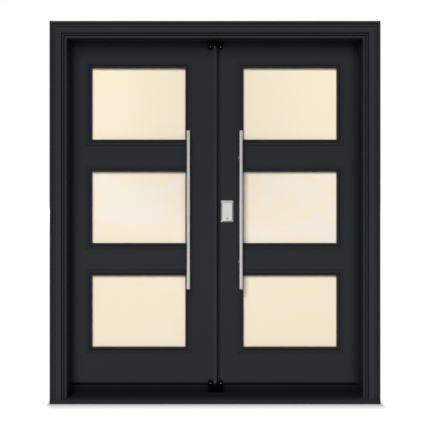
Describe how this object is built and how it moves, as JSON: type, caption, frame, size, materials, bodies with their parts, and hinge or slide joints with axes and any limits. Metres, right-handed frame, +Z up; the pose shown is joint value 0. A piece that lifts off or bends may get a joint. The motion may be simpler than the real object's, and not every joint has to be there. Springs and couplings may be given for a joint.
{
  "type": "double steel entry door",
  "caption": "Pair of charcoal steel entry doors with frosted lites, long bar pulls and a deadbolt, hung in a frame with brickmould, astragal and sill.",
  "frame": {"origin": "middle of the sill's underside, in the plane of the jambs' street edge and of the brickmould's back", "axes": "+X to the right seen from the street, +Y from the street into the house, +Z up"},
  "size_m": [1.896, 0.229, 2.194],
  "materials": {
    "charcoal_paint": "satin charcoal paint",
    "sill_metal": "satin black coated extrusion",
    "black_plastic": "matt black moulding",
    "seal_rubber": "matt black seal",
    "frosted_glass": "frosted, pale cream",
    "satin_steel": "satin brushed stainless",
    "zinc_steel": "zinc plated steel",
    "timber": "sawn laminated timber",
    "foam": "rigid insulating foam"
  },
  "bodies": {
    "frame": {"head_jamb": "charcoal_paint", "left_jamb": "charcoal_paint", "right_jamb": "charcoal_paint", "head_brickmould": "charcoal_paint", "left_brickmould": "charcoal_paint", "right_brickmould": "charcoal_paint", "sill": "sill_metal", "threshold_cap": "sill_metal", "weatherstrip": "seal_rubber", "head_seal_block": "black_plastic", "sill_seal_block": "black_plastic", "seal_block_screws": "zinc_steel", "frame_hinge_leaves": "zinc_steel", "hinge_pins": "zinc_steel"},
    "left_leaf": {"left_outer_skin": "charcoal_paint", "left_inner_skin": "charcoal_paint", "left_stiles": "timber", "left_rails": "timber", "left_core": "foam", "left_top_lite_frame": "charcoal_paint", "left_middle_lite_frame": "charcoal_paint", "left_bottom_lite_frame": "charcoal_paint", "left_inner_lite_frames": "charcoal_paint", "left_top_glass": "frosted_glass", "left_middle_glass": "frosted_glass", "left_bottom_glass": "frosted_glass", "left_sweep": "seal_rubber", "left_outer_pull": "satin_steel", "left_inner_pull": "satin_steel", "left_pull_studs": "zinc_steel", "left_hinge_leaves": "zinc_steel", "astragal": "charcoal_paint", "astragal_seal": "seal_rubber", "deadbolt_strike": "satin_steel"},
    "right_leaf": {"right_outer_skin": "charcoal_paint", "right_inner_skin": "charcoal_paint", "right_stiles": "timber", "right_rails": "timber", "right_core": "foam", "right_top_lite_frame": "charcoal_paint", "right_middle_lite_frame": "charcoal_paint", "right_bottom_lite_frame": "charcoal_paint", "right_inner_lite_frames": "charcoal_paint", "right_top_glass": "frosted_glass", "right_middle_glass": "frosted_glass", "right_bottom_glass": "frosted_glass", "right_sweep": "seal_rubber", "right_outer_pull": "satin_steel", "right_inner_pull": "satin_steel", "right_pull_studs": "zinc_steel", "right_hinge_leaves": "zinc_steel", "lock_outer_case": "satin_steel", "lock_inner_case": "charcoal_paint", "deadbolt_tube": "satin_steel"},
    "thumb_turn": {"thumb_turn": "satin_steel", "tailpiece": "zinc_steel"},
    "key_plug": {"key_plug": "zinc_steel"},
    "deadbolt": {"deadbolt": "satin_steel"},
    "top_flush_bolt": {"top_flush_bolt": "satin_steel"},
    "bottom_flush_bolt": {"bottom_flush_bolt": "satin_steel"}
  },
  "joints": [
    {"name": "left_leaf_swing", "type": "hinge", "parent": "frame", "child": "left_leaf", "pos_m": [-0.8735, 0.14, 1.1], "axis": [0, 0, 1], "range_deg": [0, 170]},
    {"name": "right_leaf_swing", "type": "hinge", "parent": "frame", "child": "right_leaf", "pos_m": [0.8735, 0.14, 1.1], "axis": [0, 0, -1], "range_deg": [0, 170]},
    {"name": "thumb_turn_turn", "type": "hinge", "parent": "right_leaf", "child": "thumb_turn", "pos_m": [0.075, 0.15, 1.057], "axis": [0, 1, 0], "range_deg": [0, 90]},
    {"name": "key_plug_turn", "type": "hinge", "parent": "right_leaf", "child": "key_plug", "pos_m": [0.075, 0.0755, 1.057], "axis": [0, 1, 0], "range_deg": [0, 90]},
    {"name": "deadbolt_slide", "type": "slide", "parent": "right_leaf", "child": "deadbolt", "axis": [-1, 0, 0], "range_m": [0, 0.025]},
    {"name": "top_flush_bolt_slide", "type": "slide", "parent": "left_leaf", "child": "top_flush_bolt", "axis": [0, 0, 1], "range_m": [0, 0.02]},
    {"name": "bottom_flush_bolt_slide", "type": "slide", "parent": "left_leaf", "child": "bottom_flush_bolt", "axis": [0, 0, -1], "range_m": [0, 0.02]}
  ],
  "couplings": [
    {"joint": "deadbolt_slide", "follows": "thumb_turn_turn", "m_per_rad": 0.015915}
  ]
}
